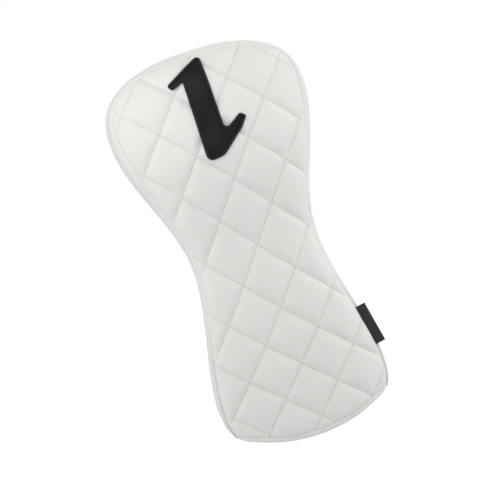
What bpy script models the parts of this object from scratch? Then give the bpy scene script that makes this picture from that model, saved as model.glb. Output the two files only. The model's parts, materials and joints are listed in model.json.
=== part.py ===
"""Golf driver head cover: a padded hourglass bag that slips over the head of a driver.

It is sewn as a box bag. A quilted front panel and a quilted back panel are joined by a narrow gusset that
runs from the mouth up one side, over the crown and down the other side. Every wall has three layers: a
leather skin, a foam padding and a fleece lining. An elastic band in the back wall draws in the neck, a bound
hem closes the mouth, a numeral patch is sewn on the front and a woven label hangs from the right-hand seam.

Lengths are in metres. +Z runs up the cover to its crown, -Y is the front and +X is the right-hand side as
seen from the front. The origin is the club head's seat: the middle of the lining inside the crown.
"Height" in this script is measured up from the lowest point of the mouth.
"""

import math

import bmesh
import bpy
from mathutils import Matrix, Vector

# Driving dimensions
LENGTH = 0.325
CROWN_HALF_WIDTH = 0.0775
NECK_HALF_WIDTH = 0.0506
SKIRT_HALF_WIDTH = 0.0685
CROWN_HEIGHT = 0.279
NECK_HEIGHT = 0.155
SKIRT_HEIGHT = 0.036

# Wall layers, as depths below the outer surface
SKIN = (0.0, 0.0012)
FRONT_PADDING = (0.0016, 0.0046)
THIN_PADDING = (0.0016, 0.0032)
ELASTIC = (0.0038, 0.0046)
LINING = (0.0054, 0.0070)

# Crown: the panels end in half a superellipse
CROWN_POWER = 2.5
CROWN_SEAM_BULGE = 0.0030
CROWN_RISE = LENGTH - CROWN_SEAM_BULGE - CROWN_HEIGHT

# Mouth: the hem dips in the middle of each panel and climbs in the middle of each gusset
HEM_DIP = 0.015
HEM_GUSSET_CLIMB = 0.013
HEM_CORNER_TUCK = 0.0055
BINDING_RADIUS = 0.0026
BINDING_DEPTH = 0.0033
PANEL_HEM_CLEAR = 0.0036
GUSSET_HEM_CLEAR = 0.0056

# Values that ease from one height to the next: (height, value)
PANEL_DOME = ((0.0, 0.011), (NECK_HEIGHT, 0.010), (0.245, 0.017))
GUSSET_HALF_DEPTH = ((0.0, 0.021), (NECK_HEIGHT, 0.015), (0.250, 0.026), (LENGTH, 0.023))
GUSSET_BULGE = (
    (0.0, 0.0015),
    (NECK_HEIGHT, 0.0008),
    (0.270, 0.0050),
    (LENGTH, CROWN_SEAM_BULGE),
)
DOME_FULLNESS = 0.8

# A layer stops this far short of a seam, so that the two walls' layers meet in a mitre
SEAM_GAP = 0.0002
SEAM_MITRE = 0.58

NECK_ELASTIC_HEIGHT = 0.024

# Numeral patch: (x, height, corner radius), anticlockwise from the tip of the stem
NUMERAL_CORNERS = (
    (0.0040, 0.3165, 0.0030),
    (-0.0270, 0.3005, 0.0022),
    (-0.0230, 0.2965, 0.0022),
    (-0.0135, 0.3005, 0.0012),
    (-0.0150, 0.2340, 0.0050),
    (-0.0010, 0.2353, 0.0120),
    (0.0190, 0.2515, 0.0200),
    (0.0250, 0.2593, 0.0016),
    (0.0210, 0.2627, 0.0020),
    (0.0057, 0.2530, 0.0035),
    (0.0057, 0.3135, 0.0012),
)
NUMERAL_LIFT = 0.0008
NUMERAL_THICKNESS = 0.0020
NUMERAL_SLICE = 0.0065
EDGING_RADIUS = 0.0008
EDGING_GAP = 0.0004
EDGING_STEP = 0.0035

# Woven label, sewn into the front seam on the right
LABEL_LENGTH = 0.0340
LABEL_WIDTH = 0.0064
LABEL_THICKNESS = 0.0008
LABEL_HEIGHT = 0.0693
LABEL_STANDOFF = 0.0008

# Mesh density
ACROSS = 12
UP_SIDE = 14
UP_CROWN = 8
GUSSET_ACROSS = 4
HEM_POINTS = 22

WHITE_LEATHER = ((0.86, 0.86, 0.85), 0.45)
BLACK_LEATHER = ((0.012, 0.013, 0.014), 0.35)
BLACK_THREAD = ((0.015, 0.015, 0.016), 0.6)
LABEL_WEAVE = ((0.010, 0.010, 0.011), 0.7)
FOAM = ((0.78, 0.76, 0.68), 0.95)
FLEECE = ((0.30, 0.31, 0.33), 1.0)
ELASTIC_WEAVE = ((0.75, 0.75, 0.74), 0.8)

SEAT_HEIGHT = LENGTH - LINING[1]
FRONT, BACK = -1, 1
TINY = 1e-5


# ---------------------------------------------------------------- form of the cover


def eased(height, keys):
    """The value at a height, eased smoothly between (height, value) keys."""
    if height <= keys[0][0]:
        return keys[0][1]
    for (low, at_low), (high, at_high) in zip(keys, keys[1:]):
        if height < high:
            share = (height - low) / (high - low)
            return at_low + (at_high - at_low) * share * share * (3 - 2 * share)
    return keys[-1][1]


def half_width(height):
    """Half the width of a panel, seam to seam, below the crown's widest point."""
    if height < SKIRT_HEIGHT:
        below = (SKIRT_HEIGHT - height) / (SKIRT_HEIGHT - HEM_DIP)
        return SKIRT_HALF_WIDTH - HEM_CORNER_TUCK * below * below
    return eased(
        height,
        (
            (SKIRT_HEIGHT, SKIRT_HALF_WIDTH),
            (NECK_HEIGHT, NECK_HALF_WIDTH),
            (CROWN_HEIGHT, CROWN_HALF_WIDTH),
        ),
    )


def seam_radius(x, height):
    """0 on a panel's middle line and 1 on its seam."""
    across = abs(x) / half_width(height)
    if height <= CROWN_HEIGHT:
        return min(across, 1.0)
    up = (height - CROWN_HEIGHT) / CROWN_RISE
    return min((across**CROWN_POWER + up**CROWN_POWER) ** (1 / CROWN_POWER), 1.0)


def panel_half_depth(x, height):
    """How far a panel's outer surface stands from the middle plane of the cover."""
    r2 = seam_radius(x, height) ** 2
    dome = (1 - r2) * (1 + DOME_FULLNESS * r2)
    return eased(height, GUSSET_HALF_DEPTH) + eased(height, PANEL_DOME) * dome


def row_frame(x, y, height):
    return Vector((x, y, height - SEAT_HEIGHT))


def panel_point(side, x, height, depth=0.0):
    """A point of the front or back wall, at a depth below its outer surface."""
    here = panel_half_depth(x, height)
    slope_x = (panel_half_depth(x + TINY, height) - panel_half_depth(x - TINY, height)) / (2 * TINY)
    slope_z = (here - panel_half_depth(x, height - TINY)) / TINY
    outward = Vector((-slope_x, side, -slope_z)).normalized()
    return row_frame(x, side * here, height) - outward * depth


def seam_line(share, start, inset=0.0):
    """(x, height) on the right half of a seam: share 0 is at the start height and share 1 is at the crown's
    top. It is moved inwards, away from the seam, by inset."""

    def on_seam(share):
        side_share = UP_SIDE / (UP_SIDE + UP_CROWN)
        if share <= side_share:
            height = start + (CROWN_HEIGHT - start) * share / side_share
            return Vector((half_width(height), height))
        turn = math.pi / 2 * min((share - side_share) / (1 - side_share), 1.0)
        reach = (abs(math.cos(turn)) ** CROWN_POWER + math.sin(turn) ** CROWN_POWER) ** (-1 / CROWN_POWER)
        return Vector(
            (
                CROWN_HALF_WIDTH * reach * math.cos(turn),
                CROWN_HEIGHT + CROWN_RISE * reach * math.sin(turn),
            )
        )

    along = on_seam(min(share + 1e-4, 1.0)) - on_seam(max(share - 1e-4, 0.0))
    inwards = Vector((-along.y, along.x)).normalized()
    return on_seam(share) + inwards * inset


def hem_height(x):
    """Height of the hem's binding, at its middle, under a panel."""
    return BINDING_RADIUS + HEM_DIP * (x / half_width(HEM_DIP)) ** 2


def gusset_hem_height(v):
    """The same under a gusset; v runs from -1 at the front seam to 1 at the back seam."""
    return BINDING_RADIUS + HEM_DIP + HEM_GUSSET_CLIMB * (1 - v * v) ** 2


def gusset_point(right, share, v, start, trim=0.0, depth=0.0):
    """A point of the gusset; right is 1 or -1. Trim takes both long edges back from their seams."""
    x, height = seam_line(share, start)
    half = eased(height, GUSSET_HALF_DEPTH) - trim
    outwards = eased(height, GUSSET_BULGE) * (1 - v * v) - depth
    x, height = seam_line(share, start, -outwards)
    return row_frame(right * x, v * half, height)


# ---------------------------------------------------------------- Blender helpers


def material(name, look):
    made = bpy.data.materials.new(name)
    made.use_nodes = True
    colour, roughness = look
    shader = made.node_tree.nodes["Principled BSDF"]
    shader.inputs["Base Color"].default_value = (*colour, 1)
    shader.inputs["Roughness"].default_value = roughness
    shader.inputs["Metallic"].default_value = 0.0
    made.diffuse_color = (*colour, 1)
    return made


def add_part(name, data, look):
    part = bpy.data.objects.new(name, data)
    cover.objects.link(part)
    data.materials.append(look)
    return part


def mesh_part(name, bm, look):
    data = bpy.data.meshes.new(name)
    bmesh.ops.recalc_face_normals(bm, faces=bm.faces)
    bm.to_mesh(data)
    bm.free()
    data.shade_smooth()
    return add_part(name, data, look)


def mapped_grid(columns, rows, place):
    """A grid whose vertices are moved to place(across, up), each from -1 to 1 and 0 to 1."""
    bm = bmesh.new()
    bmesh.ops.create_grid(bm, x_segments=columns, y_segments=rows, size=1.0)
    for vertex in bm.verts:
        vertex.co = place(vertex.co.x, (vertex.co.y + 1) / 2)
    bmesh.ops.remove_doubles(bm, verts=bm.verts, dist=TINY)
    return bm


def face_outwards(part, is_outward):
    """Turns an open surface so that its normals point out of the cover."""
    if not is_outward(part.data.polygons[len(part.data.polygons) // 2]):
        part.data.flip_normals()


def solidify(part, layer):
    """Gives an outer surface the thickness of one layer, between two depths below it."""
    outer, inner = layer
    shell = part.modifiers.new("layer", "SOLIDIFY")
    shell.thickness = inner - outer
    shell.offset = -1 - 2 * outer / (inner - outer)
    shell.use_even_offset = True


def seam_trim(layer):
    return SEAM_GAP + SEAM_MITRE * layer[1]


# ---------------------------------------------------------------- walls


def add_panel(name, side, layer, look):
    """One layer of the front or back wall: rows run from seam to seam, and fan out over the crown."""
    trim = seam_trim(layer)
    start = hem_height(half_width(HEM_DIP)) + PANEL_HEM_CLEAR

    def place(across, up):
        edge_x, edge_height = seam_line(up, start, trim)
        x = across * edge_x
        if edge_height <= CROWN_HEIGHT:
            levelling = eased(edge_height, ((start, 0), (CROWN_HEIGHT, 1)))
            dip = (hem_height(edge_x) - hem_height(x)) * (1 - levelling)
            return panel_point(side, x, edge_height - dip)
        return panel_point(side, x, CROWN_HEIGHT + (edge_height - CROWN_HEIGHT) * abs(across))

    part = mesh_part(name, mapped_grid(ACROSS, UP_SIDE + UP_CROWN, place), look)
    face_outwards(part, lambda face: face.normal.y * side > 0)
    solidify(part, layer)
    return part


def add_gusset(name, layer, look):
    """One layer of the gusset, from hem to hem over the crown."""
    trim = seam_trim(layer)

    def place(along, across):
        v = 2 * across - 1
        right = -1 if along < 0 else 1
        return gusset_point(right, 1 - abs(along), v, gusset_hem_height(v) + GUSSET_HEM_CLEAR, trim)

    part = mesh_part(name, mapped_grid(2 * (UP_SIDE + UP_CROWN), GUSSET_ACROSS, place), look)
    face_outwards(part, lambda face: face.normal.dot(face.center - row_frame(0, 0, NECK_HEIGHT)) > 0)
    solidify(part, layer)
    return part


def add_neck_elastic(look):
    """The band between padding and lining across the back of the neck."""
    trim = seam_trim(ELASTIC)

    def place(across, up):
        height = NECK_HEIGHT + NECK_ELASTIC_HEIGHT * (up - 0.5)
        return panel_point(BACK, across * (half_width(height) - trim), height)

    part = mesh_part("neck_elastic", mapped_grid(ACROSS, 2, place), look)
    face_outwards(part, lambda face: face.normal.y > 0)
    solidify(part, ELASTIC)


def tube(name, points, radius, look):
    """A closed ring of cord through the points."""
    curve = bpy.data.curves.new(name, "CURVE")
    curve.dimensions = "3D"
    curve.bevel_depth = radius
    curve.bevel_resolution = 2
    curve.use_fill_caps = True
    spline = curve.splines.new("POLY")
    spline.points.add(len(points) - 1)
    for place, point in zip(spline.points, points):
        place.co = (*point, 1)
    spline.use_cyclic_u = True
    return add_part(name, curve, look)


def add_hem_binding(look):
    """The bound edge of the mouth: a bead that follows the hem right round."""

    def under_panel(side, share):
        x = half_width(HEM_DIP) * share
        return panel_point(side, x, hem_height(x), BINDING_DEPTH)

    def under_gusset(right, v):
        return gusset_point(right, 0.0, v, gusset_hem_height(v), depth=BINDING_DEPTH)

    shares = [-0.93 + 1.86 * i / (HEM_POINTS - 1) for i in range(HEM_POINTS)]
    crossings = (-0.7, -0.35, 0.0, 0.35, 0.7)
    ring = [under_panel(FRONT, share) for share in shares]
    ring += [under_gusset(1, v) for v in crossings]
    ring += [under_panel(BACK, -share) for share in shares]
    ring += [under_gusset(-1, -v) for v in crossings]
    tube("hem_binding", ring, BINDING_RADIUS, look)


# ---------------------------------------------------------------- numeral and label


def rounded_outline(corners, step, grow=0.0):
    """Points round a polygon of (x, height, radius) corners, with arcs for its corners, grown by grow."""
    points = []
    for i, (x, height, radius) in enumerate(corners):
        here = Vector((x, height))
        before = (Vector(corners[i - 1][:2]) - here).normalized()
        after = (Vector(corners[(i + 1) % len(corners)][:2]) - here).normalized()
        half_angle = before.angle(after) / 2
        reach = radius / math.tan(half_angle)
        centre = here + (before + after).normalized() * (radius / math.sin(half_angle))
        first = here + before * reach - centre
        last = here + after * reach - centre
        turn = first.angle_signed(last)
        count = max(2, math.ceil(abs(turn) * radius / step) + 1)
        # angle_signed is clockwise positive; a corner that turns the same way as the outline is convex
        bulges = 1 if turn < 0 else -1
        for k in range(count):
            spoke = Matrix.Rotation(-turn * k / (count - 1), 2) @ first
            points.append(centre + spoke * (1 + bulges * grow / radius))
    return points


def spaced(points, step):
    """The closed outline again, with more points along its long straight stretches."""
    out = []
    for here, following in zip(points, points[1:] + points[:1]):
        pieces = max(1, round((following - here).length / step))
        out += [here.lerp(following, k / pieces) for k in range(pieces)]
    return out


def add_numeral(look, edging_look):
    """The numeral 1: a raised patch that lies on the domed front, and the cord of stitching round it."""
    bm = bmesh.new()
    outline = rounded_outline(NUMERAL_CORNERS, EDGING_STEP)
    bm.faces.new([bm.verts.new((x, 0, height)) for x, height in outline])
    lows = [min(corner[k] for corner in NUMERAL_CORNERS) for k in (0, 1)]
    highs = [max(corner[k] for corner in NUMERAL_CORNERS) for k in (0, 1)]
    for low, high, normal in zip(lows, highs, (Vector((1, 0, 0)), Vector((0, 0, 1)))):
        count = math.ceil((high - low) / NUMERAL_SLICE)
        for k in range(1, count):
            everything = bm.verts[:] + bm.edges[:] + bm.faces[:]
            cut = normal * (low + (high - low) * k / count)
            bmesh.ops.bisect_plane(bm, geom=everything, plane_co=cut, plane_no=normal)
    bmesh.ops.triangulate(bm, faces=bm.faces)
    for vertex in bm.verts:
        vertex.co = panel_point(FRONT, vertex.co.x, vertex.co.z)
    patch = mesh_part("numeral_patch", bm, look)
    face_outwards(patch, lambda face: face.normal.y < 0)
    solidify(patch, (-NUMERAL_LIFT - NUMERAL_THICKNESS, -NUMERAL_LIFT))

    grow = EDGING_RADIUS + EDGING_GAP
    ring = spaced(rounded_outline(NUMERAL_CORNERS, EDGING_STEP, grow), EDGING_STEP)
    on_panel = [panel_point(FRONT, x, height, -NUMERAL_LIFT - EDGING_RADIUS) for x, height in ring]
    tube("numeral_edging", on_panel, EDGING_RADIUS, edging_look)


def add_label(look):
    """The woven label, hinged on its sewn edge: the parent empty is the hinge, with its Z along the seam."""
    low, high = (LABEL_HEIGHT + LABEL_LENGTH * k for k in (-0.5, 0.5))
    seam_low, seam_high = (row_frame(half_width(h), -eased(h, GUSSET_HALF_DEPTH), h) for h in (low, high))
    along = (seam_high - seam_low).normalized()
    outward = Vector((along.z, 0, -along.x)).normalized()
    hinge = bpy.data.objects.new("label_hinge", None)
    hinge.location = (seam_low + seam_high) / 2 + outward * LABEL_STANDOFF
    hinge.rotation_mode = "QUATERNION"
    hinge.rotation_quaternion = Matrix((outward, along.cross(outward), along)).transposed().to_quaternion()
    cover.objects.link(hinge)

    bm = bmesh.new()
    bmesh.ops.create_cube(bm, size=1.0)
    bmesh.ops.scale(bm, verts=bm.verts, vec=(LABEL_WIDTH, LABEL_THICKNESS, LABEL_LENGTH))
    bmesh.ops.translate(bm, verts=bm.verts, vec=(LABEL_WIDTH / 2, 0, 0))
    label = mesh_part("side_label", bm, look)
    label.data.shade_flat()
    label.parent = hinge


# ---------------------------------------------------------------- assembly

for old in list(bpy.data.objects):
    bpy.data.objects.remove(old)
cover = bpy.data.collections.new("driver_head_cover")
bpy.context.scene.collection.children.link(cover)

white_leather = material("white_leather", WHITE_LEATHER)
foam = material("foam", FOAM)
fleece = material("fleece", FLEECE)

for wall, side, padding in (("front", FRONT, FRONT_PADDING), ("back", BACK, THIN_PADDING)):
    add_panel(wall + "_panel", side, SKIN, white_leather)
    add_panel(wall + "_padding", side, padding, foam)
    add_panel(wall + "_lining", side, LINING, fleece)
add_gusset("side_gusset", SKIN, white_leather)
add_gusset("gusset_padding", THIN_PADDING, foam)
add_gusset("gusset_lining", LINING, fleece)
add_hem_binding(white_leather)
add_neck_elastic(material("elastic_weave", ELASTIC_WEAVE))
add_numeral(material("black_leather", BLACK_LEATHER), material("black_thread", BLACK_THREAD))
add_label(material("label_weave", LABEL_WEAVE))
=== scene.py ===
"""The looks of a quilted golf driver head cover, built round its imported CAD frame.

Lengths are in metres, in the frame of the CAD model: +Z up the cover, -Y its front. "Height" is measured up
from the lowest point of the mouth. The form functions repeat those of the CAD model, so every piece lies in
the space of the solid that it replaces.
"""

import json
import math

import bmesh
import bpy
from mathutils import Matrix, Vector, noise
from mathutils.bvhtree import BVHTree
from mathutils.geometry import delaunay_2d_cdt
from mathutils.kdtree import KDTree


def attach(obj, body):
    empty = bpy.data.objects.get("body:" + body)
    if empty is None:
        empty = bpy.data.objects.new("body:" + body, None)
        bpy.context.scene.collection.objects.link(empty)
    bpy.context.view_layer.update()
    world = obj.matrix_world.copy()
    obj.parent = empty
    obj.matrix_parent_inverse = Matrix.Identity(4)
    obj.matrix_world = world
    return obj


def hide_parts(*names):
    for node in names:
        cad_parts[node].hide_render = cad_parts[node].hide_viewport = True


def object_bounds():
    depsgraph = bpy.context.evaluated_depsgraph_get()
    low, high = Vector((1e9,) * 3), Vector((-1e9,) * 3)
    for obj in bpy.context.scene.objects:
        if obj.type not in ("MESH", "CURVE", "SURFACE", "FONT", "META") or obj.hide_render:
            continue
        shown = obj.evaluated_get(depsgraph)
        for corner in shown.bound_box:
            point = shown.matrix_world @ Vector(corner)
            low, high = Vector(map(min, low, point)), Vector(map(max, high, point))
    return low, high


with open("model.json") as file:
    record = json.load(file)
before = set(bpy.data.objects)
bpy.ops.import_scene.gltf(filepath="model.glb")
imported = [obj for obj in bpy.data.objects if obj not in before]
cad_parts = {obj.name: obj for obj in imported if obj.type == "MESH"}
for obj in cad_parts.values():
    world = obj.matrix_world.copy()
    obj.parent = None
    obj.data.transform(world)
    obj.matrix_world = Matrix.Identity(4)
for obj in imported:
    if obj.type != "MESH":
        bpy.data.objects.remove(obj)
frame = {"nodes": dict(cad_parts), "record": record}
cad_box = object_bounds()

# ---------- driving dimensions, as in the CAD model

LENGTH = 0.325
CROWN_HALF_WIDTH = 0.0775
NECK_HALF_WIDTH = 0.0506
SKIRT_HALF_WIDTH = 0.0685
CROWN_HEIGHT = 0.279
NECK_HEIGHT = 0.155
SKIRT_HEIGHT = 0.036
HALF_WIDTHS = (
    (SKIRT_HEIGHT, SKIRT_HALF_WIDTH),
    (NECK_HEIGHT, NECK_HALF_WIDTH),
    (CROWN_HEIGHT, CROWN_HALF_WIDTH),
)
CROWN_POWER = 2.5
CROWN_SEAM_BULGE = 0.0030
CROWN_RISE = LENGTH - CROWN_SEAM_BULGE - CROWN_HEIGHT
HEM_DIP = 0.015
HEM_GUSSET_CLIMB = 0.013
HEM_CORNER_TUCK = 0.0055
BINDING_RADIUS = 0.0026
PANEL_DOME = ((0.0, 0.011), (NECK_HEIGHT, 0.010), (0.245, 0.017))
GUSSET_HALF_DEPTH = ((0.0, 0.021), (NECK_HEIGHT, 0.015), (0.250, 0.026), (LENGTH, 0.023))
GUSSET_BULGE = (
    (0.0, 0.0015),
    (NECK_HEIGHT, 0.0008),
    (0.270, 0.0050),
    (LENGTH, CROWN_SEAM_BULGE),
)
DOME_FULLNESS = 0.8
SEAT_HEIGHT = -cad_box[0].z
FRONT, BACK = -1, 1

# Half a seam: its length from hem to crown, and the share of it below the crown's widest point
SEAM_LENGTH = 0.40
SIDE_SHARE = 14 / 22

# Small steps for slopes, along the surface and along the seam
TINY = 1e-5
SEAM_TINY = 1e-4

# Quilting: stitch lines run along whole values of two diagonal coordinates, a and b
QUILT_HALF_WIDTH = 0.0222
QUILT_TOP = 0.293
QUILT_ROWS = 5
QUILT_SPAN = 0.257
ROW_SPREAD = 0.0049
ROW_DRIFT = 0.0032
QUILT_SHIFT = 0.0019
QUILT_LEAN = math.radians(1.3)
QUILT_LINES = (-4, 10)
QUILT_SEARCH = (-3.0, 8.0)
QUILT_HALVINGS = 28
PUFF = 0.0019
SHOULDER = 0.13
SHOULDER_SHARE = 0.62
VALLEY = 0.0006
PUFF_MARGIN = 0.011

# Panel mesh: steps between two stitch lines, how far they crowd towards the lines, and rows along the edge
QUILT_STEPS = 18
CROWDING = 0.55
PANEL_STEP = 0.0018
BORDER_ROWS = (0.0011, 0.0022, 0.0036)
BORDER = 0.0048
EDGE_PARTS = 8

# Seams: both leather edges turn in towards the seam, and the gusset puckers beside it
SEAM_TUCK = 0.0021
SKIRT_TUCK = 0.0034
SEAM_ROLL = 0.0010
PUCKER = 0.0003
PUCKER_REACH = 0.006
PUCKER_PEAK = 0.6
PUCKER_SHARPNESS = 3
PUCKERS_PER_METRE = 150
GUSSET_STEPS = 190
GUSSET_ACROSS = 26
GUSSET_CROWDING = 0.5

# Cloth settling
CLOTH_SCALE = 10
CLOTH_FRAMES = 16
CLOTH_CAP = 0.0012
QUILT_GROWTH = 0.006
QUILT_PRESSURE = 1.5
GUSSET_GROWTH = 0.006
GUSSET_PRESSURE = 1

# Elastic gathers at the back of the neck
ELASTIC_REACH = 0.013
PLEAT_PITCH = 0.0075
PLEAT_DEPTH = 0.0012
PLEAT_WANDER = 2
PLEAT_WANDERS_PER_METRE = 90

# Hem
HEM_STEPS = 70
GUSSET_HEM_STEPS = 30
HEM_PANEL_SHARE = 0.96
HEM_GUSSET_SHARE = 0.80
HEM_ROUNDING = 6
HEM_STITCH_RISE = 0.0022
HEM_TUCK = 0.0006
HEM_ROLL = 0.0009
HEM_GROOVE = 0.0006
BEAD_DEPTH = 0.0031
BEAD_HALF_THICKNESS = 0.0032
BEAD_STEP = 0.0008
BEAD_SIDES = 16
BEAD_FLATNESS = 0.75
BEAD_PUCKER = 0.05
BEAD_WOBBLE = 0.08
BEAD_WOBBLES_PER_METRE = 160

# Stitches
STITCH_PITCH = 0.0032
STITCH_LENGTH = 0.0024
THREAD_RADIUS = 0.00026
THREAD_SIDES = 6
THREAD_PROUD = 0.0001
LINE_STEPS = 12
HEM_LINE_STEPS = 80

# One stitch: (place along it, thickness, rise), as shares of half its length and of the thread's radius
STITCH_RINGS = ((-0.8, 0.75, -0.45), (-0.3, 1.0, 0.1), (0.3, 1.0, 0.1), (0.8, 0.75, -0.45))

# Lining
LINING_DEPTH = 0.0064
LINING_STEP = 0.0028
LINING_INSET = 0.0040
LINING_GUSSET_SHARE = 0.86
LINING_GUSSET_CELLS = (260, 16)
FLEECE_LUMPS = 0.0004
FLEECE_CLUMPS_PER_METRE = 130
FLEECE_TUFTS_PER_METRE = 320
FLEECE_TUFT_SHARE = 0.6
GUSSET_HALF_LENGTH = 0.3

# Numeral: (x, height, corner radius), anticlockwise from the tip of the stem
NUMERAL_CORNERS = (
    (0.0040, 0.3165, 0.0030),
    (-0.0270, 0.3005, 0.0022),
    (-0.0230, 0.2965, 0.0022),
    (-0.0135, 0.3005, 0.0012),
    (-0.0150, 0.2340, 0.0050),
    (-0.0010, 0.2353, 0.0120),
    (0.0190, 0.2515, 0.0200),
    (0.0250, 0.2593, 0.0016),
    (0.0210, 0.2627, 0.0020),
    (0.0057, 0.2530, 0.0035),
    (0.0057, 0.3135, 0.0012),
)
NUMERAL_STEP = 0.0012
NUMERAL_THICKNESS = 0.0012
NUMERAL_DRAPING = 40
NUMERAL_EDGE_DROP = 0.0008
EDGING_HALF_WIDTH = 0.0013
EDGING_HALF_HEIGHT = 0.0011
EDGING_INSET = 0.0010
EDGING_SINK = 0.0002
RIM_NEIGHBOURS = 5
SATIN_STEP = 0.00012
SATIN_STEPS_PER_THREAD = 4
SATIN_SIDES = 8
SATIN_RIDGE = 0.07
SATIN_SLANT = 0.0003

# Woven label
LABEL_LENGTH = 0.0340
LABEL_WIDTH = 0.0064
LABEL_ROOT = 0.0012
LABEL_FOLD = 0.00045
LABEL_FOLD_SHARE = 0.08
LABEL_FOLD_FULLNESS = 1.2
LABEL_PINCH = 0.55
LABEL_CLOTH = 0.00022
LABEL_CURL = 0.0006
LABEL_CURL_TURNS = (-0.9, 2.1)
LABEL_ROWS = 48
LABEL_PROFILE = 50

REACH = 0.012


# ---------- form of the cover, as in the CAD model


def eased(height, keys):
    """The value at a height, eased smoothly between (height, value) keys."""
    if height <= keys[0][0]:
        return keys[0][1]
    for (low, at_low), (high, at_high) in zip(keys, keys[1:]):
        if height < high:
            share = (height - low) / (high - low)
            return at_low + (at_high - at_low) * share * share * (3 - 2 * share)
    return keys[-1][1]


def half_width(height):
    """Half the width of a panel, seam to seam, below the crown's widest point."""
    if height < SKIRT_HEIGHT:
        below = (SKIRT_HEIGHT - height) / (SKIRT_HEIGHT - HEM_DIP)
        return SKIRT_HALF_WIDTH - HEM_CORNER_TUCK * below * below
    return eased(height, HALF_WIDTHS)


def seam_radius(x, height):
    """0 on a panel's middle line and 1 on its seam."""
    across = abs(x) / half_width(height)
    if height <= CROWN_HEIGHT:
        return min(across, 1.0)
    up = (height - CROWN_HEIGHT) / CROWN_RISE
    return min((across**CROWN_POWER + up**CROWN_POWER) ** (1 / CROWN_POWER), 1.0)


def panel_half_depth(x, height):
    """How far a panel's outer surface stands from the middle plane of the cover."""
    r2 = seam_radius(x, height) ** 2
    dome = (1 - r2) * (1 + DOME_FULLNESS * r2)
    return eased(height, GUSSET_HALF_DEPTH) + eased(height, PANEL_DOME) * dome


def row_frame(x, y, height):
    return Vector((x, y, height - SEAT_HEIGHT))


def panel_normal(side, x, height):
    """Outward direction of the front or back wall."""
    here = panel_half_depth(x, height)
    slope_x = (panel_half_depth(x + TINY, height) - panel_half_depth(x - TINY, height)) / (2 * TINY)
    slope_z = (here - panel_half_depth(x, height - TINY)) / TINY
    return Vector((-slope_x, side, -slope_z)).normalized()


def panel_point(side, x, height, depth=0.0):
    """A point of the front or back wall, at a depth below its outer surface."""
    on_surface = row_frame(x, side * panel_half_depth(x, height), height)
    return on_surface - panel_normal(side, x, height) * depth


def seam_line(share, start, inset=0.0):
    """(x, height) on the right half of a seam: share 0 is at the start height and share 1 is at the crown's
    top. It is moved inwards, away from the seam, by inset."""

    def on_seam(share):
        if share <= SIDE_SHARE:
            height = start + (CROWN_HEIGHT - start) * share / SIDE_SHARE
            return Vector((half_width(height), height))
        turn = math.pi / 2 * min((share - SIDE_SHARE) / (1 - SIDE_SHARE), 1.0)
        reach = (abs(math.cos(turn)) ** CROWN_POWER + math.sin(turn) ** CROWN_POWER) ** (-1 / CROWN_POWER)
        return Vector(
            (
                CROWN_HALF_WIDTH * reach * math.cos(turn),
                CROWN_HEIGHT + CROWN_RISE * reach * math.sin(turn),
            )
        )

    along = on_seam(min(share + SEAM_TINY, 1.0)) - on_seam(max(share - SEAM_TINY, 0.0))
    inwards = Vector((-along.y, along.x)).normalized()
    return on_seam(share) + inwards * inset


def hem_height(x):
    """Height of the hem's binding, at its middle, under a panel."""
    return BINDING_RADIUS + HEM_DIP * (x / half_width(HEM_DIP)) ** 2


def gusset_hem_height(v):
    """The same under a gusset; v runs from -1 at the front seam to 1 at the back seam."""
    return BINDING_RADIUS + HEM_DIP + HEM_GUSSET_CLIMB * (1 - v * v) ** 2


def gusset_point(right, share, v, start, depth=0.0):
    """A point of the gusset; right is 1 or -1."""
    x, height = seam_line(share, start)
    half = eased(height, GUSSET_HALF_DEPTH)
    outwards = eased(height, GUSSET_BULGE) * (1 - v * v) - depth
    x, height = seam_line(share, start, -outwards)
    return row_frame(right * x, v * half, height)


# ---------- quilting


def quilt_height(row):
    """Height of a row of crossings: rows spread out at the neck, where the leather is pulled lengthwise."""
    q = (row + 0.5) / QUILT_ROWS
    wave = ROW_DRIFT * math.sin(2 * math.pi * q) - ROW_SPREAD * math.sin(math.pi * q)
    return QUILT_TOP - QUILT_SPAN * q + wave


def turned(place, lean):
    """An (x, height) place, turned anticlockwise about the middle of the neck."""
    pivot = Vector((0, NECK_HEIGHT))
    return pivot + Matrix.Rotation(lean, 2) @ (place - pivot)


def quilt_place(a, b):
    """(x, height) of a pair of quilting coordinates. The quilting was cut a little off the cover's middle
    line and leans over it."""
    straight = Vector(((a - b) * QUILT_HALF_WIDTH + QUILT_SHIFT, quilt_height((a + b) / 2)))
    return turned(straight, QUILT_LEAN)


def quilt_coordinates(x, height):
    """(a, b) at a place on a panel, by halving the interval that holds the row."""
    x, height = turned(Vector((x, height)), -QUILT_LEAN)
    low, high = QUILT_SEARCH
    for _ in range(QUILT_HALVINGS):
        middle = (low + high) / 2
        if quilt_height(middle) > height:
            low = middle
        else:
            high = middle
    row = (low + high) / 2
    offset = (x - QUILT_SHIFT) / QUILT_HALF_WIDTH / 2
    return row + offset, row - offset


def pillow(fraction):
    """0 on a stitch line and 1 halfway to the next one: a quick shoulder, then a low crown."""
    off = abs(fraction - round(fraction)) * 2
    shoulder = (1 - math.exp(-off / SHOULDER)) / (1 - math.exp(-1 / SHOULDER))
    crown = 1 - (1 - off) ** 2
    return SHOULDER_SHARE * shoulder + (1 - SHOULDER_SHARE) * crown


def crowded(share):
    """Moves evenly spaced places closer to the stitch lines, which stay where they are."""
    return share - CROWDING * math.sin(2 * math.pi * share) / (2 * math.pi)


def hem_edge(step, inset=0.0):
    """The hem under a panel as (x, height) points, from left to right."""
    corner = half_width(HEM_DIP) - inset
    count = round(2 * corner / step)
    xs = [corner * (2 * i / count - 1) for i in range(count + 1)]
    return [Vector((x, hem_height(x) + inset)) for x in xs]


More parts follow.
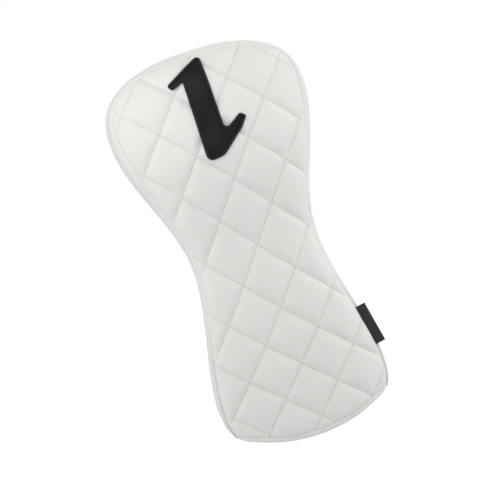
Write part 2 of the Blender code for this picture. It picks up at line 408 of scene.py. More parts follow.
def seam_edge(step, inset=0.0):
    """The seam round a panel as (x, height) points, from the right end of the hem over to the left end."""
    start = hem_height(half_width(HEM_DIP)) + inset
    count = round(SEAM_LENGTH / step)
    right = [seam_line(i / count, start, inset) for i in range(count)]
    left = [Vector((-p.x, p.y)) for p in reversed(right)]
    return right + [seam_line(1.0, start, inset)] + left


def panel_outline(step, inset=0.0):
    """The panel's edge, anticlockwise from the left end of the hem."""
    return hem_edge(step, inset)[:-1] + seam_edge(step, inset)[:-1]


def edge_tree(line, closed=True):
    """A search tree of close-set points along a line."""
    fine = []
    for here, following in zip(line, line[1:] + line[:1] * closed):
        fine += [here.lerp(following, k / EDGE_PARTS) for k in range(EDGE_PARTS)]
    tree = KDTree(len(fine))
    for i, p in enumerate(fine):
        tree.insert((p.x, p.y, 0), i)
    tree.balance()
    return tree


def edge_distance(tree, place):
    return tree.find((place[0], place[1], 0))[2]


def on_panel(x, height):
    if height >= CROWN_HEIGHT:
        return seam_radius(x, height) < 1 and height < CROWN_HEIGHT + CROWN_RISE
    return abs(x) < half_width(height) and height > hem_height(x)


def flat_mesh(outline, inner_points, grid_places=()):
    """Flat faces that fill an outline through the given points. The last of the points may lie on a grid,
    with their (column, row) in grid_places, and then each square of the grid is one face."""
    given = outline + inner_points
    points, _, faces, sources, *_ = delaunay_2d_cdt(given, [], [list(range(len(outline)))], 1, 1e-7)
    bm = bmesh.new()
    verts = [bm.verts.new((p.x, p.y, 0)) for p in points]
    for face in faces:
        bm.faces.new([verts[i] for i in face])
    first = len(given) - len(grid_places)
    place_of = {}
    for vertex, source in zip(verts, sources):
        if source and source[0] >= first:
            place_of[vertex] = grid_places[source[0] - first]
    diagonals = []
    for edge in bm.edges:
        ends = [place_of.get(v) for v in edge.verts]
        if None not in ends and abs((ends[0][0] - ends[1][0]) * (ends[0][1] - ends[1][1])) == 1:
            diagonals.append(edge)
    bmesh.ops.dissolve_edges(bm, edges=diagonals, use_verts=False)
    triangles = [face for face in bm.faces if len(face.verts) == 3]
    bmesh.ops.join_triangles(
        bm, faces=triangles, angle_face_threshold=math.pi, angle_shape_threshold=0.75
    )
    return bm


def quilted_blank(outline, tree):
    """The panel cut flat. Its mesh follows the stitch lines, so that each crease lies on edges, and a few
    rows inside its own edge follow that edge."""
    inner = []
    for inset in BORDER_ROWS:
        inner += panel_outline(PANEL_STEP, inset)
    grid_points = []
    grid_places = []
    span = range(QUILT_LINES[0] * QUILT_STEPS, QUILT_LINES[1] * QUILT_STEPS)
    for i in span:
        for j in span:
            place = quilt_place(crowded(i / QUILT_STEPS), crowded(j / QUILT_STEPS))
            if on_panel(*place) and edge_distance(tree, place) > BORDER:
                grid_points.append(place)
                grid_places.append((i, j))
    return flat_mesh(outline, inner + grid_points, grid_places)


def fill_points(outline, step, clear, inside):
    """Points in a triangular pattern inside an outline."""
    tree = edge_tree(outline)
    left = min(p.x for p in outline)
    low = min(p.y for p in outline)
    columns = math.ceil((max(p.x for p in outline) - left) / step) + 1
    row_step = step * math.sqrt(0.75)
    rows = math.ceil((max(p.y for p in outline) - low) / row_step) + 1
    places = (
        Vector((left + (i + 0.5 * (j % 2)) * step, low + j * row_step))
        for j in range(rows)
        for i in range(columns)
    )
    return [p for p in places if inside(p) and edge_distance(tree, p) > clear]


# ---------- Blender helpers


def add_object(name, data):
    made = bpy.data.objects.new(name, data)
    bpy.context.scene.collection.objects.link(made)
    return made


def to_object(name, bm):
    data = bpy.data.meshes.new(name)
    bm.to_mesh(data)
    bm.free()
    data.shade_smooth()
    return add_object(name, data)


def apply_modifiers(piece):
    """Makes the piece's shown shape its own mesh."""
    graph = bpy.context.evaluated_depsgraph_get()
    graph.update()
    old = piece.data
    shown = bpy.data.meshes.new_from_object(piece.evaluated_get(graph))
    piece.modifiers.clear()
    piece.data = shown
    bpy.data.meshes.remove(old)
    shown.name = piece.name


def face_outwards(piece):
    """Turns a sheet whose normals point into the cover."""
    middle = row_frame(0, 0, NECK_HEIGHT)
    inside_out = sum(face.area * face.normal.dot(face.center - middle) for face in piece.data.polygons)
    if inside_out < 0:
        piece.data.flip_normals()


def face_inwards(piece):
    face_outwards(piece)
    piece.data.flip_normals()
    return piece


def subdivide(piece):
    smooth = piece.modifiers.new("smooth", "SUBSURF")
    smooth.levels = 1
    smooth.render_levels = 1
    apply_modifiers(piece)


def thicken(piece, thickness, offset=-1):
    """Gives a sheet its thickness: on its inner side, or on both sides for an offset of 0."""
    shell = piece.modifiers.new("thickness", "SOLIDIFY")
    shell.thickness = thickness
    shell.offset = offset
    apply_modifiers(piece)


def settle_cloth(piece, pinned, growth, pressure, cap):
    """Blows the piece up as cloth that is a little too large for its pinned vertices, so that it puckers
    between them. The solver works at ten times life size, where its usual stiffness suits the mesh."""
    before = [v.co.copy() for v in piece.data.vertices]
    piece.data.transform(Matrix.Scale(CLOTH_SCALE, 4))
    group = piece.vertex_groups.new(name="pinned")
    group.add(pinned, 1.0, "REPLACE")
    cloth = piece.modifiers.new("cloth", "CLOTH")
    settings = cloth.settings
    settings.quality = 5
    settings.mass = 0.15
    settings.vertex_group_mass = "pinned"
    settings.tension_stiffness = 30
    settings.compression_stiffness = 30
    settings.shear_stiffness = 15
    settings.bending_stiffness = 0.4
    settings.tension_damping = 12
    settings.compression_damping = 12
    settings.shear_damping = 12
    settings.air_damping = 3
    settings.shrink_min = -growth
    settings.use_pressure = True
    settings.uniform_pressure_force = pressure
    settings.effector_weights.gravity = 0
    cloth.collision_settings.use_collision = False
    cloth.point_cache.frame_start = 1
    cloth.point_cache.frame_end = CLOTH_FRAMES
    for step in range(1, CLOTH_FRAMES + 1):
        bpy.context.scene.frame_set(step)
    apply_modifiers(piece)
    bpy.context.scene.frame_set(1)
    piece.vertex_groups.clear()
    piece.data.transform(Matrix.Scale(1 / CLOTH_SCALE, 4))
    for vertex, start in zip(piece.data.vertices, before):
        moved = vertex.co - start
        if moved.length > cap:
            vertex.co = start + moved * (cap / moved.length)


def spokes(count):
    """(cosine, sine) of evenly spaced directions round a ring."""
    turns = [2 * math.pi * k / count for k in range(count)]
    return [(math.cos(turn), math.sin(turn)) for turn in turns]


def swept(bm, rings, closed):
    """Skins a row of rings of points; closed joins the last ring to the first."""
    loops = [[bm.verts.new(p) for p in ring] for ring in rings]
    pairs = list(zip(loops, loops[1:]))
    if closed:
        pairs.append((loops[-1], loops[0]))
    for here, following in pairs:
        for i in range(len(here)):
            j = (i + 1) % len(here)
            bm.faces.new((here[i], here[j], following[j], following[i]))
    if not closed:
        bm.faces.new(list(reversed(loops[0])))
        bm.faces.new(loops[-1])


def surface_of(piece):
    bm = bmesh.new()
    bm.from_mesh(piece.data)
    tree = BVHTree.FromBMesh(bm)
    bm.free()
    return tree


def rise_over_panel(tree, side, x, height):
    """How far the finished leather stands above the panel's plain surface."""
    outward = panel_normal(side, x, height)
    start = panel_point(side, x, height, -REACH)
    hit = tree.ray_cast(start, -outward, 2 * REACH)
    return REACH - hit[3] if hit[0] else 0.0


def finished(piece, look, body, *nodes):
    """Gives a finished piece its material, parents it to its body's empty, and hides the CAD parts that it
    replaces.
    """
    piece.data.materials.clear()
    piece.data.materials.append(MATERIALS[look])
    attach(piece, body)
    if nodes:
        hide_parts(*nodes)
    return piece


def wall_piece(piece, look, *nodes):
    return finished(piece, look, "cover", *nodes)


# ---------- leather walls


def quilted_lift(side, x, height, gap):
    """Height of the leather above the panel's plain surface; gap is the distance to the panel's edge."""
    a, b = quilt_coordinates(x, height)
    filled = pillow(a) * pillow(b)
    rim = 1 - (1 - min(gap / PUFF_MARGIN, 1.0)) ** 3
    puff = PUFF
    if side == BACK:
        puff -= 0.5 * PUFF * elastic_pull(height)
    return (puff * filled - VALLEY * (1 - filled)) * rim


def elastic_pull(height):
    """1 over the elastic band at the back of the neck, falling to 0 away from it."""
    return math.exp(-(((height - NECK_HEIGHT) / ELASTIC_REACH) ** 4))


def seam_dip(gap, height):
    """How far a sheet turns in towards its seam, at a distance from it; the skirt's seam lies deeper."""
    tuck = eased(height, ((NECK_HEIGHT / 2, SKIRT_TUCK), (NECK_HEIGHT, SEAM_TUCK)))
    return tuck * math.exp(-((gap / SEAM_ROLL) ** 2))


def hem_dip(gap):
    """The same towards the binding, with a groove where the row of stitches pulls the leather in."""
    rolled = HEM_TUCK * math.exp(-((gap / HEM_ROLL) ** 2))
    return rolled + HEM_GROOVE * math.exp(-(((gap - HEM_STITCH_RISE) / HEM_ROLL) ** 2))


def quilted_panel(name, side):
    """The front or back skin. Its mesh follows the stitch lines, and between them it is settled as cloth."""
    outline = panel_outline(PANEL_STEP)
    tree = edge_tree(outline)
    seam_tree = edge_tree(seam_edge(PANEL_STEP), False)
    hem_tree = edge_tree(hem_edge(PANEL_STEP), False)
    bm = quilted_blank(outline, tree)
    pinned = []
    for i, vertex in enumerate(bm.verts):
        x, height = vertex.co.x, vertex.co.y
        gap = edge_distance(tree, (x, height))
        a, b = quilt_coordinates(x, height)
        if gap < PANEL_STEP / 5 or min(abs(a - round(a)), abs(b - round(b))) < 0.2 / QUILT_STEPS:
            pinned.append(i)
        dip = seam_dip(edge_distance(seam_tree, (x, height)), height)
        dip += hem_dip(edge_distance(hem_tree, (x, height)))
        depth = dip - quilted_lift(side, x, height, gap)
        vertex.co = panel_point(side, x, height, depth)
    panel = to_object(name, bm)
    face_outwards(panel)
    settle_cloth(panel, pinned, QUILT_GROWTH, QUILT_PRESSURE, CLOTH_CAP)
    subdivide(panel)
    if side == BACK:
        pleat(panel)
    return panel


def pleat(panel):
    """Upright pleats where the elastic gathers the back of the neck; they fade out towards the seams."""
    for vertex in panel.data.vertices:
        height = vertex.co.z + SEAT_HEIGHT
        if abs(height - NECK_HEIGHT) < 2 * ELASTIC_REACH:
            fade = max(0.0, 1 - (vertex.co.x / half_width(height)) ** 6)
            wander = PLEAT_WANDER * noise.noise(vertex.co * PLEAT_WANDERS_PER_METRE)
            wave = math.cos(2 * math.pi * vertex.co.x / PLEAT_PITCH + wander)
            vertex.co.y += PLEAT_DEPTH * wave * elastic_pull(height) * fade


def gusset(name):
    """The strip between the panels, from hem to hem over the crown, with both edges turned in."""
    bm = bmesh.new()
    bmesh.ops.create_grid(bm, x_segments=2 * GUSSET_STEPS, y_segments=GUSSET_ACROSS, size=1.0)
    pinned = []
    for i, vertex in enumerate(bm.verts):
        along = vertex.co.x
        v = vertex.co.y + GUSSET_CROWDING * (math.sin(math.pi / 2 * vertex.co.y) - vertex.co.y)
        right = -1 if along < 0 else 1
        start = gusset_hem_height(v)
        share = 1 - abs(along)
        x, height = seam_line(share, start)
        side = 1 if v > 0 else -1
        gap = (1 - abs(v)) * eased(height, GUSSET_HALF_DEPTH)
        seam_normal = panel_normal(side, right * x, height)
        puckers = noise.noise(Vector((right * x, height, side)) * PUCKERS_PER_METRE) * PUCKER
        near_seam = math.exp(-((gap / PUCKER_REACH - PUCKER_PEAK) ** 2) * PUCKER_SHARPNESS)
        dip = seam_dip(gap, height) + puckers * near_seam
        vertex.co = gusset_point(right, share, v, start) - seam_normal * dip
        if abs(v) > 0.999 or abs(along) > 0.999:
            pinned.append(i)
    bmesh.ops.recalc_face_normals(bm, faces=bm.faces)
    strip = to_object(name, bm)
    face_outwards(strip)
    settle_cloth(strip, pinned, GUSSET_GROWTH, GUSSET_PRESSURE, CLOTH_CAP)
    subdivide(strip)
    return strip


def hem_path(depth):
    """Points round the mouth, at a depth inside the wall, with the wall's outward direction at each."""
    corner = half_width(HEM_DIP)
    path = []
    for side in (FRONT, BACK):
        run = -side
        for i in range(HEM_STEPS + 1):
            x = run * corner * HEM_PANEL_SHARE * (2 * i / HEM_STEPS - 1)
            height = hem_height(x)
            path.append((panel_point(side, x, height, depth), panel_normal(side, x, height)))
        for i in range(GUSSET_HEM_STEPS + 1):
            v = side * HEM_GUSSET_SHARE * (1 - 2 * i / GUSSET_HEM_STEPS)
            place = gusset_point(run, 0.0, v, gusset_hem_height(v), depth)
            path.append((place, Vector((run, 0, 0))))
    for _ in range(HEM_ROUNDING):
        count = len(path)
        path = [
            (
                (path[i - 1][0] + path[i][0] * 2 + path[(i + 1) % count][0]) / 4,
                (path[i - 1][1] + path[i][1] * 2 + path[(i + 1) % count][1]).normalized(),
            )
            for i in range(count)
        ]
    return path


def spaced_path(path, step):
    """The same closed path with even spacing."""
    lengths = [(path[(i + 1) % len(path)][0] - path[i][0]).length for i in range(len(path))]
    count = round(sum(lengths) / step)
    gap = sum(lengths) / count
    out, i, done = [], 0, 0.0
    for k in range(count):
        wanted = k * gap
        while done + lengths[i] < wanted:
            done += lengths[i]
            i += 1
        share = (wanted - done) / lengths[i]
        (here, out_here), (there, out_there) = path[i], path[(i + 1) % len(path)]
        out.append((here.lerp(there, share), out_here.lerp(out_there, share).normalized()))
    return out


def hem_binding():
    """The bound edge of the mouth: a flattened bead round all the layers, drawn in by its stitches."""
    path = spaced_path(hem_path(BEAD_DEPTH), BEAD_STEP)
    rings = []
    for i, (place, outward) in enumerate(path):
        along = (path[(i + 1) % len(path)][0] - path[i - 1][0]).normalized()
        up = along.cross(outward).normalized()
        pull = 1 - BEAD_PUCKER * (0.5 + 0.5 * math.cos(2 * math.pi * i * BEAD_STEP / STITCH_PITCH))
        wobble = 1 + BEAD_WOBBLE * noise.noise(place * BEAD_WOBBLES_PER_METRE)
        ring = []
        for c, s in spokes(BEAD_SIDES):
            wide = math.copysign(abs(c) ** BEAD_FLATNESS, c) * BEAD_HALF_THICKNESS
            tall = math.copysign(abs(s) ** BEAD_FLATNESS, s) * BINDING_RADIUS
            ring.append(place + outward * wide * pull * wobble + up * tall * wobble)
        rings.append(ring)
    bm = bmesh.new()
    swept(bm, rings, True)
    bmesh.ops.recalc_face_normals(bm, faces=bm.faces)
    return to_object("hem_bead", bm)


# ---------- stitches


def add_stitch(bm, place, along, outward):
    """One visible stitch: a short thread whose ends dive into the leather."""
    sideways = along.cross(outward).normalized()
    rings = []
    for share, fat, high in STITCH_RINGS:
        centre = place + along * (share * STITCH_LENGTH / 2) + outward * (high * THREAD_RADIUS)
        radius = fat * THREAD_RADIUS
        rings.append([centre + (sideways * c + outward * s) * radius for c, s in spokes(THREAD_SIDES)])
    swept(bm, rings, False)


def stitch_run(bm, tree, side, places):
    """Stitches along a line of (x, height) places on a panel, laid on the finished leather."""
    travelled = 0.0
    following = STITCH_PITCH / 2
    for here, there in zip(places, places[1:]):
        start = panel_point(side, *here)
        end = panel_point(side, *there)
        length = (end - start).length
        while travelled + length >= following:
            share = (following - travelled) / length
            x, height = here.lerp(there, share)
            outward = panel_normal(side, x, height)
            place = panel_point(side, x, height, -rise_over_panel(tree, side, x, height))
            add_stitch(bm, place + outward * THREAD_PROUD, (end - start).normalized(), outward)
            following += STITCH_PITCH
        travelled += length


def quilting_thread(name, side, panel):
    """All the stitches of one panel's quilting, and the row along its hem."""
    tree = surface_of(panel)
    edge = edge_tree(panel_outline(PANEL_STEP))
    bm = bmesh.new()
    first, last = QUILT_LINES
    for family in (0, 1):
        for line in range(first, last):
            run = []
            for k in range((first - 1) * LINE_STEPS, (last + 1) * LINE_STEPS):
                pair = (line, k / LINE_STEPS) if family == 0 else (k / LINE_STEPS, line)
                place = quilt_place(*pair)
                if on_panel(*place) and edge_distance(edge, place) > SEAM_ROLL:
                    run.append(place)
            if len(run) > 2:
                stitch_run(bm, tree, side, run)
    corner = half_width(HEM_DIP) - SEAM_ROLL
    hem = [corner * (2 * i / HEM_LINE_STEPS - 1) for i in range(HEM_LINE_STEPS + 1)]
    stitch_run(bm, tree, side, [Vector((x, hem_height(x) + HEM_STITCH_RISE)) for x in hem])
    return to_object(name, bm)


# ---------- lining


def fleece_depth(place):
    """Depth of the lining's soft side below the wall's outer surface."""
    clumps = noise.noise(place * FLEECE_CLUMPS_PER_METRE)
    tufts = noise.noise(place * FLEECE_TUFTS_PER_METRE)
    return LINING_DEPTH + FLEECE_LUMPS * (clumps + FLEECE_TUFT_SHARE * tufts)


def panel_lining(name, side):
    outline = panel_outline(LINING_STEP, LINING_INSET)
    inner = fill_points(outline, LINING_STEP, 0.5 * LINING_STEP, lambda p: on_panel(*p))
    bm = flat_mesh(outline, inner)
    for vertex in bm.verts:
        x, height = vertex.co.x, vertex.co.y
        vertex.co = panel_point(side, x, height, fleece_depth(Vector((x, side, height))))
    return face_inwards(to_object(name, bm))


def gusset_lining():
    bm = bmesh.new()
    length, width = LINING_GUSSET_CELLS
    bmesh.ops.create_grid(bm, x_segments=length, y_segments=width, size=1.0)
    for vertex in bm.verts:
        along, v = vertex.co.x, vertex.co.y * LINING_GUSSET_SHARE
        right = -1 if along < 0 else 1
        start = gusset_hem_height(v) + BINDING_RADIUS
        depth = fleece_depth(vertex.co * GUSSET_HALF_LENGTH)
        vertex.co = gusset_point(right, 1 - abs(along), v, start, depth)
    return face_inwards(to_object("fleece_gusset", bm))


# ---------- numeral


def rounded_outline(corners, step, grow=0.0):
    """Points round a polygon of (x, height, radius) corners, with arcs for its corners, grown by grow."""
    points = []
    for i, (x, height, radius) in enumerate(corners):
        here = Vector((x, height))
        before = (Vector(corners[i - 1][:2]) - here).normalized()
        after = (Vector(corners[(i + 1) % len(corners)][:2]) - here).normalized()
        half_angle = before.angle(after) / 2
        reach = radius / math.tan(half_angle)
        centre = here + (before + after).normalized() * (radius / math.sin(half_angle))
        first = here + before * reach - centre
        last = here + after * reach - centre
        turn = first.angle_signed(last)
        count = max(2, math.ceil(abs(turn) * radius / step) + 1)
        # angle_signed is clockwise positive; a corner that turns the same way as the outline is convex
        bulges = 1 if turn < 0 else -1
        for k in range(count):
            spoke = Matrix.Rotation(-turn * k / (count - 1), 2) @ first
            points.append(centre + spoke * (1 + bulges * grow / radius))
    return points


def spaced(points, step):
    """The closed outline again, with more points along its long straight stretches."""
    out = []
    for here, following in zip(points, points[1:] + points[:1]):
        pieces = max(1, round((following - here).length / step))
        out += [here.lerp(following, k / pieces) for k in range(pieces)]
    return out


def inside_polygon(points, place):
    inside = False
    for p, q in zip(points, points[1:] + points[:1]):
        if (p.y > place.y) != (q.y > place.y):
            if place.x < p.x + (q.x - p.x) * (place.y - p.y) / (q.y - p.y):
                inside = not inside
    return inside


def draped(bm, floors):
    """Heights of the leather over its panel: smoothed, so that it bridges the creases it lies across."""
    rises = [floor + NUMERAL_THICKNESS for floor in floors]
    beside = [[e.other_vert(v).index for e in v.link_edges] for v in bm.verts]
    for _ in range(NUMERAL_DRAPING):
        rises = [
            max(sum(rises[j] for j in near) / len(near), floor + NUMERAL_THICKNESS / 2)
            for near, floor in zip(beside, floors)
        ]
    return rises


def numeral_leather(panel):
    """The leather numeral 1, lying over the puffs, with the (place, rise) points of its edge."""
    tree = surface_of(panel)
    outline = spaced(rounded_outline(NUMERAL_CORNERS, NUMERAL_STEP), NUMERAL_STEP)
    edge = edge_tree(outline)
    inner = fill_points(outline, NUMERAL_STEP, 0.6 * NUMERAL_STEP, lambda p: inside_polygon(outline, p))
    bm = flat_mesh(outline, inner)
    bm.verts.ensure_lookup_table()
    floors = [rise_over_panel(tree, FRONT, v.co.x, v.co.y) for v in bm.verts]
    rim = []
    for vertex, rise in zip(bm.verts, draped(bm, floors)):
        x, height = vertex.co.x, vertex.co.y
        gap = edge_distance(edge, (x, height))
        if gap < NUMERAL_STEP / 4:
            rim.append((Vector((x, height)), rise))
        drop = NUMERAL_EDGE_DROP * math.exp(-((gap / EDGING_HALF_WIDTH) ** 2))
        vertex.co = panel_point(FRONT, x, height, drop - rise)
    patch = to_object("numeral_leather", bm)
    face_outwards(patch)
    thicken(patch, NUMERAL_THICKNESS + NUMERAL_EDGE_DROP)
    return patch, rim


def satin_edge(rim):
    """Satin stitching along the numeral's edge: a ridge of threads side by side, slanting a little."""
    rim_tree = KDTree(len(rim))
    for i, (place, _) in enumerate(rim):
        rim_tree.insert((*place, 0), i)
    rim_tree.balance()
    fine = spaced(rounded_outline(NUMERAL_CORNERS, SATIN_STEP, -EDGING_INSET), SATIN_STEP)
    lifts = []
    for place in fine:
        near = rim_tree.find_n((*place, 0), RIM_NEIGHBOURS)
        lifts.append(sum(rim[i][1] for _, i, _ in near) / len(near) - EDGING_SINK)
    rings = []
    for i, (place, lift) in enumerate(zip(fine, lifts)):
        here = panel_point(FRONT, *place, -lift)
        there = panel_point(FRONT, *fine[(i + 1) % len(fine)], -lift)
        outward = panel_normal(FRONT, *place)
        along = (there - here).normalized()
        sideways = along.cross(outward).normalized()
        ridge = 1 + SATIN_RIDGE * math.cos(2 * math.pi * i / SATIN_STEPS_PER_THREAD)
        ring = []
        for c, s in spokes(SATIN_SIDES):
            wide = c * EDGING_HALF_WIDTH * ridge
            tall = s * EDGING_HALF_HEIGHT * ridge
            ring.append(here + sideways * wide + outward * tall + along * (SATIN_SLANT * c))
        rings.append(ring)
    bm = bmesh.new()
    swept(bm, rings, True)
    bmesh.ops.recalc_face_normals(bm, faces=bm.faces)
    return to_object("numeral_satin_edge", bm)


# ---------- label


def woven_label():
    """A ribbon folded in half over its outer edge, sewn into the seam along its inner edge."""
    joint = frame["record"]["behaviour"]["joints"][0]
    pivot, along = Vector(joint["pos_m"]), Vector(joint["axis"]).normalized()
    outward = Vector((along.z, 0, -along.x)).normalized()
    across = along.cross(outward)
    bm = bmesh.new()
    rows = []
    for i in range(LABEL_ROWS + 1):
        share = i / LABEL_ROWS
        run = (share - 0.5) * LABEL_LENGTH
        bend = math.sin(LABEL_CURL_TURNS[0] + (LABEL_CURL_TURNS[1] - LABEL_CURL_TURNS[0]) * share)
        row = []
        for k in range(LABEL_PROFILE + 1):
            t = 2 * k / LABEL_PROFILE - 1
            out = LABEL_WIDTH - LABEL_FOLD - (LABEL_WIDTH + LABEL_ROOT) * abs(t)
            apart = math.copysign(min(abs(t) / LABEL_FOLD_SHARE, 1.0) ** 0.5, t) * LABEL_FOLD
            if abs(t) < LABEL_FOLD_SHARE:
                out = LABEL_WIDTH - LABEL_FOLD * (abs(t) / LABEL_FOLD_SHARE) ** 2 * LABEL_FOLD_FULLNESS
            pinch = 1 - LABEL_PINCH * max(0.0, -out / LABEL_ROOT)
            curl = LABEL_CURL * (out / LABEL_WIDTH) ** 2 * bend
            row.append(pivot + along * run + outward * out + across * (apart * pinch + curl))
        rows.append([bm.verts.new(p) for p in row])
    for here, there in zip(rows, rows[1:]):
        for k in range(LABEL_PROFILE):
            bm.faces.new((here[k], here[k + 1], there[k + 1], there[k]))
    bmesh.ops.recalc_face_normals(bm, faces=bm.faces)
    made = to_object("woven_label", bm)
    thicken(made, LABEL_CLOTH, 0)
    return made


# ---------- materials

# Bump height in metres of a fine surface and of a napped one, and the specular level of a dull surface
FINE_RELIEF = 0.0001
NAP_RELIEF = 0.0006
DULL = 0.22


def new_material(name, colour, roughness):
    """A Principled material, with its tree and shader."""
    made = bpy.data.materials.new(name)
    made.use_nodes = True
    tree = made.node_tree
    shader = tree.nodes["Principled BSDF"]
    shader.inputs["Base Color"].default_value = (*colour, 1)
    shader.inputs["Roughness"].default_value = roughness
    return made, tree, shader


def node(tree, kind, **values):
    """A shader node, with values on its sockets."""
    made = tree.nodes.new("ShaderNode" + kind)
    for key, value in values.items():
        made.inputs[key].default_value = value
    return made


def texture(tree, kind, place, **values):
    """A texture laid out by the mapping node given as place."""
    made = node(tree, "Tex" + kind, **values)
    tree.links.new(place.outputs["Vector"], made.inputs["Vector"])
    return made


def millimetres(tree, turn=(0, 0, 0)):
    """A mapping to the piece's own millimetres, turned."""
    mapping = node(tree, "Mapping", Scale=(1000, 1000, 1000), Rotation=turn)
    tree.links.new(node(tree, "TexCoord").outputs["Object"], mapping.inputs["Vector"])
    return mapping


def mixed(tree, first, second, share, kind="MIX"):
    """Two values blended or combined."""
    made = node(tree, "Mix")
    made.data_type = "RGBA"
    made.blend_type = kind
    made.inputs[0].default_value = share
    tree.links.new(first, made.inputs[6])
    tree.links.new(second, made.inputs[7])
    return made.outputs[2]


def toned(tree, factor, dark, light):
    """A colour from dark to light, as the factor goes from 0 to 1."""
    made = node(tree, "Mix")
    made.data_type = "RGBA"
    made.inputs[6].default_value = (*dark, 1)
    made.inputs[7].default_value = (*light, 1)
    tree.links.new(factor, made.inputs[0])
    return made.outputs[2]


def ranged(tree, value, low, high):
    """A value from low to high, as the given one goes from 0 to 1."""
    made = node(tree, "MapRange", **{"To Min": low, "To Max": high})
    tree.links.new(value, made.inputs["Value"])
    return made.outputs["Result"]


def bumped(tree, shader, height, strength, distance):
    bump = node(tree, "Bump", Strength=strength, Distance=distance)
    tree.links.new(height, bump.inputs["Height"])
    tree.links.new(bump.outputs["Normal"], shader.inputs["Normal"])


def leather(name, light, dark, roughness, grain, strength, specular=0.5):
    """Coated leather: a pebbled grain, with tone and gloss that drift a little over the skin."""
    made, tree, shader = new_material(name, light, roughness)
    place = millimetres(tree)
    pebbles = texture(tree, "Voronoi", place, Scale=1 / grain)
    pebbles.feature = "SMOOTH_F1"
    pores = texture(tree, "Noise", place, Scale=1.4 / grain, Detail=3.0)
    drift = texture(tree, "Noise", place, Scale=0.03, Detail=2.0)
    relief = mixed(tree, pebbles.outputs["Distance"], pores.outputs["Fac"], 0.45)
    bumped(tree, shader, relief, strength, FINE_RELIEF)
    tone = toned(tree, drift.outputs["Fac"], dark, light)
    tree.links.new(tone, shader.inputs["Base Color"])
    gloss = ranged(tree, pores.outputs["Fac"], roughness - 0.06, roughness + 0.08)
    tree.links.new(gloss, shader.inputs["Roughness"])
    shader.inputs["Specular IOR Level"].default_value = specular
    return made


def thread(name, light, dark, roughness, pitch, turn, specular=DULL):
    """Twisted thread: fine slanting strands."""
    made, tree, shader = new_material(name, light, roughness)
    place = millimetres(tree, turn)
    strands = texture(tree, "Wave", place, Scale=1 / pitch, Distortion=0.6)
    bumped(tree, shader, strands.outputs["Fac"], 0.5, FINE_RELIEF)
    tone = toned(tree, strands.outputs["Fac"], dark, light)
    tree.links.new(tone, shader.inputs["Base Color"])
    shader.inputs["Specular IOR Level"].default_value = specular
    return made


def weave(name, light, dark, roughness, pitch, turn=(0, 0, 0)):
    """Two sets of yarns, over and under each other."""
    made, tree, shader = new_material(name, light, roughness)
    place = millimetres(tree, turn)
    warp = texture(tree, "Wave", place, Scale=1 / pitch)
    warp.bands_direction = "X"
    weft = texture(tree, "Wave", place, Scale=1 / pitch)
    weft.bands_direction = "Z"
    crossing = mixed(tree, warp.outputs["Fac"], weft.outputs["Fac"], 1.0, "MULTIPLY")
    fluff = texture(tree, "Noise", place, Scale=1.5 / pitch)
    relief = mixed(tree, crossing, fluff.outputs["Fac"], 0.3)
    bumped(tree, shader, relief, 0.6, FINE_RELIEF)
    tree.links.new(toned(tree, relief, dark, light), shader.inputs["Base Color"])
    shader.inputs["Sheen Weight"].default_value = 0.25
    return made


def napped(name, light, dark, grain, strength):
    """Fleece or foam: a matt, broken surface without a direction."""
    made, tree, shader = new_material(name, light, 1.0)
    place = millimetres(tree)
    tufts = texture(tree, "Noise", place, Scale=1 / grain, Detail=5.0, Roughness=0.7)
    clumps = texture(tree, "Voronoi", place, Scale=0.35 / grain)
    relief = mixed(tree, tufts.outputs["Fac"], clumps.outputs["Distance"], 0.35)
    bumped(tree, shader, relief, strength, NAP_RELIEF)
    tree.links.new(toned(tree, relief, dark, light), shader.inputs["Base Color"])
    shader.inputs["Sheen Weight"].default_value = 0.5
    shader.inputs["Sheen Roughness"].default_value = 0.6
    return made


# Turns of a yarn's pattern, then (light, dark) colours. Grain and pitch are in millimetres.
SLANT = (0, math.radians(-10.0), 0)
TWIST = (0.6, 0.5, 0)
BLACK_HIDE = ((0.0045, 0.0066, 0.0062), (0.0028, 0.0042, 0.0040))
BLACK_SILK = ((0.0045, 0.0050, 0.0050), (0.0020, 0.0020, 0.0020))
BLACK_YARN = ((0.0200, 0.0200, 0.0220), (0.0050, 0.0050, 0.0060))
WHITE_HIDE = ((0.82, 0.824, 0.80), (0.78, 0.784, 0.76))
WHITE_YARN = ((0.76, 0.76, 0.74), (0.63, 0.63, 0.615))
PALE_RUBBER = ((0.78, 0.78, 0.77), (0.50, 0.50, 0.49))
GREY_FLEECE = ((0.34, 0.35, 0.37), (0.20, 0.205, 0.22))
CREAM_FOAM = ((0.80, 0.78, 0.70), (0.68, 0.66, 0.58))
MATERIALS = {
    "white_leather": leather("white_leather", *WHITE_HIDE, 0.58, 0.8, 0.18),
    "black_leather": leather("black_leather", *BLACK_HIDE, 0.42, 0.7, 0.5, DULL),
    "white_thread": thread("white_thread", *WHITE_YARN, 0.7, 0.5, TWIST),
    "black_thread": thread("black_thread", *BLACK_SILK, 0.32, 0.5, SLANT, 0.38),
    "label_weave": weave("label_weave", *BLACK_YARN, 0.7, 0.45, SLANT),
    "elastic_weave": weave("elastic_weave", *PALE_RUBBER, 0.8, 0.9),
    "fleece": napped("fleece", *GREY_FLEECE, 1.1, 0.9),
    "foam": napped("foam", *CREAM_FOAM, 0.7, 0.5),
}

# ---------- studio

# Camera: FRAME_WIDTH metres fill the picture, and CENTRE_OFFSET moves the cover right and down in it
COVER_TILT = math.radians(19.1)
CAMERA_AZIMUTH = math.radians(-4.5)
CAMERA_DISTANCE = 1.7
FRAME_WIDTH = 0.3897
FRAME_PIXELS = 480
CENTRE_OFFSET = (12.1, 2.5)

